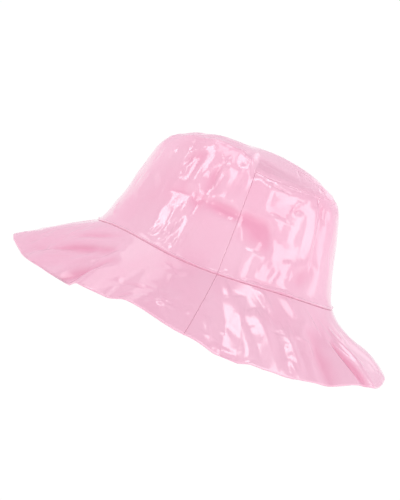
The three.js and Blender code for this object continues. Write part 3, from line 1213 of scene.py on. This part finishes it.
@dataclass
class Brim:
    """Wide brim: two panels that slope from the brim seam to the hem.

    shift is where the middle of the hat's box lies. panel_width is a panel's flat width halfway out.
    The small relief starts within edge_fade from the edges.
    """

    form: HatForm
    shift: np.ndarray
    roll: EdgeRoll = field(default_factory=EdgeRoll)
    columns: int = 420
    rows: int = 90
    panel_width: float = 370 * MM
    edge_fade: float = 4 * MM
    plan: Unrolled = Unrolled(93.0, 141.0, 69.0, True)
    creases: tuple[Crease, ...] = (
        Crease((281.8, 0.2), (290.5, 0.96), 2.5, 9.0, 11.0),
        Crease((290.6, 0.28), (302.0, 1.04), 3.0, 10.0, 10.0),
        Crease((304.6, 0.4), (310.6, 0.98), 2.2, 6.0, 7.0),
        Crease((305.3, 0.78), (309.5, 1.04), 0.9, 3.0, 4.0),
        Crease((277.0, 0.91), (290.5, 0.94), 0.5, 4.0, 4.0),
        Crease((289.5, -0.04), (298.7, 0.28), 1.3, 3.5, 5.0),
        Crease((301.5, -0.04), (311.5, 0.24), 1.5, 3.5, 5.5),
        Crease((274.3, 0.02), (279.8, 0.26), 0.8, 3.0, 4.0),
        Crease((317.5, 0.08), (325.5, 0.38), 0.8, 1.5, 2.0),
        Crease((308.5, 0.45), (316.5, 0.52), 0.5, 2.0, 2.5),
        Crease((315.5, 0.47), (317.7, 0.68), 0.6, 2.0, 3.0),
        Crease((294.5, 0.26), (300.0, 0.46), 0.4, 2.5, 3.0),
        Crease((302.0, 0.35), (305.0, 0.52), 0.4, 2.0, 3.0),
        Crease((297.0, 0.5), (307.0, 0.49), -0.4, 2.0, 2.0),
        Crease((273.5, 0.62), (277.5, 0.92), 0.7, 3.0, 4.0),
        Crease((272.0, 0.87), (280.5, 0.84), 0.3, 2.0, 2.0),
        Crease((334.0, 0.22), (338.0, 0.8), 1.6, 4.0, 3.0),
        Crease((330.5, 0.38), (336.8, 1.08), -3.2, 3.5, 5.0),
        Crease((317.0, 0.28), (324.0, 1.15), -1.7, 15.0, 14.0),
        Crease((242.0, 0.74), (256.0, 0.67), -0.8, 3.5, 3.5),
        Crease((246.0, 0.98), (252.5, 0.82), -0.8, 3.5, 3.5),
        Crease((254.5, 0.6), (262.5, 0.88), 0.6, 2.5, 4.0),
        Crease((252.0, 0.84), (264.5, 0.72), 0.6, 2.0, 2.5),
        Crease((257.5, 0.72), (262.5, 0.67), 0.5, 1.5, 2.0),
        Crease((250.0, 0.16), (258.0, 0.26), 0.5, 2.5, 3.0),
        Crease((256.0, 0.3), (258.5, 0.54), 0.4, 2.5, 2.5),
        Crease((232.0, 0.28), (203.0, 0.66), -2.4, 9.0, 8.0),
        Crease((231.0, 0.44), (208.0, 0.96), 0.7, 5.0, 5.0),
        Crease((236.0, 0.4), (222.0, 1.08), -2.2, 8.0, 8.0),
        Crease((226.0, 0.08), (200.0, 0.42), -1.4, 6.0, 5.0),
        Crease((228.0, 0.2), (212.0, 0.46), 0.5, 3.0, 3.0),
        Crease((214.0, 0.5), (196.0, 0.84), -0.7, 4.0, 4.0),
    )
    fine: tuple[FineWrinkles, ...] = (
        FineWrinkles(31, 70, 22.0, 5.5, 0.35),
        FineWrinkles(32, 110, 10.0, 2.2, 0.12),
        FineWrinkles(61, 14, 10.0, 2.2, 0.4, (250, 267), (0.55, 0.92), (20, 130)),
        FineWrinkles(62, 12, 9.0, 2.0, 0.35, (268, 284), (0.6, 0.95), (30, 150)),
        FineWrinkles(63, 14, 10.0, 2.2, 0.35, (290, 318), (0.25, 0.7), (40, 90)),
        FineWrinkles(64, 100, 16.0, 3.0, 0.6, (345, 560), (0.1, 0.9), (50, 130)),
    )

    def panel(self, span: Span, finishes: tuple[bpy.types.Material, ...]) -> bpy.types.Object:
        """Builds one panel.

        Args:
            span: which half it covers.
            finishes: the outer and the inner finish.

        Returns:
            The dressed panel.
        """
        cut = CutPiece(f"brim_{span.value}_sheet", f"brim_{span.value}", self.columns, self.rows)
        mesh, column, row = cut.grid()
        width, length = self.panel_width, self.form.brim_width
        s = line_shares(self.columns, width, self.roll.rows)[column]
        t = line_shares(self.rows, length, self.roll.rows)[row]

        def turn_at(a: np.ndarray, out: np.ndarray) -> np.ndarray:
            """Turn of a place of the panel."""
            first, last = span.turns(self.form.side_turn - self.form.seam_skew * out)
            return first + (last - first) * a

        def surface(a: np.ndarray, b: np.ndarray) -> np.ndarray:
            """Panel at places from 0 to 1, with its hem at b = 0."""
            return self.form.brim(turn_at(a, 1 - b), 1 - b)

        points, normals = surface(s, t), normals_of(surface, s, t)
        out = 1 - t
        side, hem, top = np.minimum(s, 1 - s) * width, t * length, out * length
        small = Relief(self.plan, self.creases, self.fine, span.turns(self.form.side_turn))
        relief = small.height(turn_at(s, out), out)
        relief *= smoothstep(top, 0.0, self.edge_fade) * smoothstep(side, 0.0, self.edge_fade)
        roll = self.roll
        # Marks for the painted shade along the seams and in the hollows of the creases.
        marks = {SEAM_DISTANCE: np.minimum(top, roll.narrow * side), FOLD_DEPTH: -relief}
        relief += roll.depth(roll.side, side) + roll.depth(roll.brim_seam, top) + roll.depth(roll.hem, hem)
        points = points + normals * relief[:, None] - self.shift
        points[:, 2] = np.maximum(points[:, 2], 0.0)
        piece = cut.made(mesh, points, np.stack([s * width, top], -1), marks)
        cut.placed(piece, finishes)
        return piece


@dataclass(frozen=True)
class Softbox:
    """Soft light that faces the hat from one direction, as bright as its radiance whatever its size."""

    name: str
    azimuth: float
    elevation: float
    distance: float
    width: float
    height: float
    radiance: float
    colour: tuple = (1.0, 1.0, 1.0)

    def hang(self, aim: Vector) -> bpy.types.Object:
        """Makes the light.

        Args:
            aim: the point it faces.

        Returns:
            The light.
        """
        light = bpy.data.lights.new(self.name, "AREA")
        light.shape = "RECTANGLE"
        light.size, light.size_y = self.width, self.height
        light.energy = self.radiance * math.pi * self.width * self.height
        light.color = self.colour
        lamp = bpy.data.objects.new(self.name, light)
        bpy.context.scene.collection.objects.link(lamp)
        turn, rise = math.radians(self.azimuth), math.radians(self.elevation)
        away = Vector((math.cos(rise) * math.cos(turn), math.cos(rise) * math.sin(turn), math.sin(rise)))
        lamp.location = aim + away * self.distance
        lamp.rotation_euler = (-away).to_track_quat("-Z", "Y").to_euler()
        return lamp


@dataclass
class Studio:
    """Camera, soft lights and a plain pale floor."""

    aim: Vector = field(default_factory=lambda: Vector((-17.2, -0.4, 55.7)) * MM)
    distance: float = 1.5
    elevation: float = 4.5
    roll: float = 23.7
    lens: float = 135.5
    horizon: tuple = (1.02, 1.02, 1.02, 1.0)
    front_sky: tuple = (0.53, 0.52, 0.52, 1.0)
    back_sky: tuple = (0.92, 0.71, 0.81, 1.0)
    top_sky: tuple = (0.3, 0.28, 0.29, 1.0)
    horizon_edges: tuple[float, float] = (0.1, 0.2)
    back_edges: tuple[float, float] = (-0.1, 0.5)
    top_edges: tuple[float, float] = (0.6, 0.85)
    sensor: float = 36.0
    far: float = 100.0
    floor_size: float = 40.0
    floor_drop: float = 0.2 * MM
    floor_colour: tuple = (0.04, 0.04, 0.04, 1.0)
    floor_light: tuple = (1.0, 1.0, 1.0, 1.0)
    floor_roughness: float = 0.9
    lights: tuple[Softbox, ...] = (
        Softbox("left_strip", 211, 29, 1.6, 0.32, 0.5, 3.6, (0.9, 1.0, 0.98)),
        Softbox("left_fill", 205, 58, 1.6, 1.0, 0.6, 1.8),
        Softbox("right_window", 327, 28, 1.6, 0.9, 1.25, 1.95, (0.9, 1.0, 0.98)),
        Softbox("right_edge", 14, 20, 1.6, 0.34, 0.5, 1.1),
        Softbox("front_spot", 246, 11, 1.6, 0.5, 0.4, 2.4),
        Softbox("high_front", 288, 66, 1.6, 0.8, 0.38, 3.2, (0.9, 1.0, 0.98)),
        Softbox("back_left", 135, 62, 1.6, 0.9, 0.7, 0.9),
        Softbox("back_right", 72, 24, 1.6, 0.5, 0.4, 0.45),
    )

    def camera(self) -> bpy.types.Object:
        """Makes the camera, rolled so that the hat stands tilted in the picture.

        Returns:
            The camera.
        """
        rise, roll = math.radians(self.elevation), math.radians(self.roll)
        forward = Vector((0.0, math.cos(rise), -math.sin(rise)))
        level = Vector((1.0, 0.0, 0.0))
        upright = level.cross(forward)
        right = level * math.cos(roll) + upright * math.sin(roll)
        up = upright * math.cos(roll) - level * math.sin(roll)
        data = bpy.data.cameras.new("camera")
        data.lens = self.lens
        data.sensor_width = self.sensor
        data.clip_end = self.far
        camera = bpy.data.objects.new("camera", data)
        bpy.context.scene.collection.objects.link(camera)
        turned = Matrix((right, up, -forward)).transposed()
        camera.matrix_world = Matrix.Translation(self.aim - forward * self.distance) @ turned.to_4x4()
        bpy.context.scene.camera = camera
        return camera

    def floor(self) -> bpy.types.Object:
        """Makes the floor, just under the hat and as pale as the horizon.

        Returns:
            The floor.
        """
        shape = bmesh.new()
        bmesh.ops.create_grid(shape, x_segments=1, y_segments=1, size=self.floor_size)
        mesh = bpy.data.meshes.new("floor")
        shape.to_mesh(mesh)
        shape.free()
        floor = bpy.data.objects.new("floor", mesh)
        floor.location.z = -self.floor_drop
        bpy.context.scene.collection.objects.link(floor)
        shader = Shader("pale_floor")
        look = {
            "Base Color": self.floor_colour,
            "Roughness": self.floor_roughness,
            "Specular IOR Level": 0.0,
            "Emission Color": self.floor_light,
            "Emission Strength": 1.0,
        }
        mesh.materials.append(shader.finish(shader.node("ShaderNodeBsdfPrincipled", {}, look)))
        floor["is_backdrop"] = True
        return floor

    def sky(self) -> bpy.types.World:
        """Makes the surround: pale at the horizon, with its own colours in front, behind and above.

        Returns:
            The world.
        """
        world = bpy.data.worlds.new("pale_surround")
        world.use_nodes = True
        nodes = Nodes(world.node_tree)
        where = nodes.node("ShaderNodeTexCoord", {}, {}, "Generated")
        back = nodes.node("ShaderNodeSeparateXYZ", {}, {"Vector": where}, "Y")
        up = nodes.node("ShaderNodeSeparateXYZ", {}, {"Vector": where}, "Z")
        colour = nodes.blend(back.ramp(*self.back_edges), self.front_sky, self.back_sky)
        colour = nodes.blend(up.ramp(*self.top_edges), colour, self.top_sky)
        colour = nodes.blend(1.0 - up.ramp(*self.horizon_edges), colour, self.horizon)
        glow = nodes.node("ShaderNodeBackground", {}, {"Color": colour})
        nodes.added("ShaderNodeOutputWorld", {}, {"Surface": glow})
        bpy.context.scene.world = world
        return world

    def light(self) -> list[bpy.types.Object]:
        """Hangs the lights and has their colours shown plainly.

        Returns:
            The lights.
        """
        bpy.context.scene.view_settings.view_transform = "Standard"
        return [softbox.hang(self.aim) for softbox in self.lights]


def main() -> None:
    """Builds the hat and its studio."""
    logging.basicConfig(level=logging.INFO, format="%(name)s: %(message)s")
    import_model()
    cad_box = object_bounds()
    studio = Studio()
    studio.camera()
    form = HatForm()
    shift = form.middle()
    LOG.info("middle of the hat's box %s", shift.round(5).tolist())
    finishes = CoatedFinish().material(), BackingFinish().material()
    brim, crown = Brim(form, shift), Crown(form, shift)
    pieces = [brim.panel(span, finishes) for span in Span]
    pieces += [crown.wall(span, finishes) for span in Span]
    pieces.append(crown.top(finishes))
    for piece in pieces:
        LOG.info("%s: %d faces", piece.name, len(piece.data.polygons))
    studio.floor()
    studio.sky()
    studio.light()
    boxes = {"cad": cad_box, "visual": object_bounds()}
    {name: [list(corner) for corner in box] for name, box in boxes.items()}


if __name__ == "__main__":
    main()
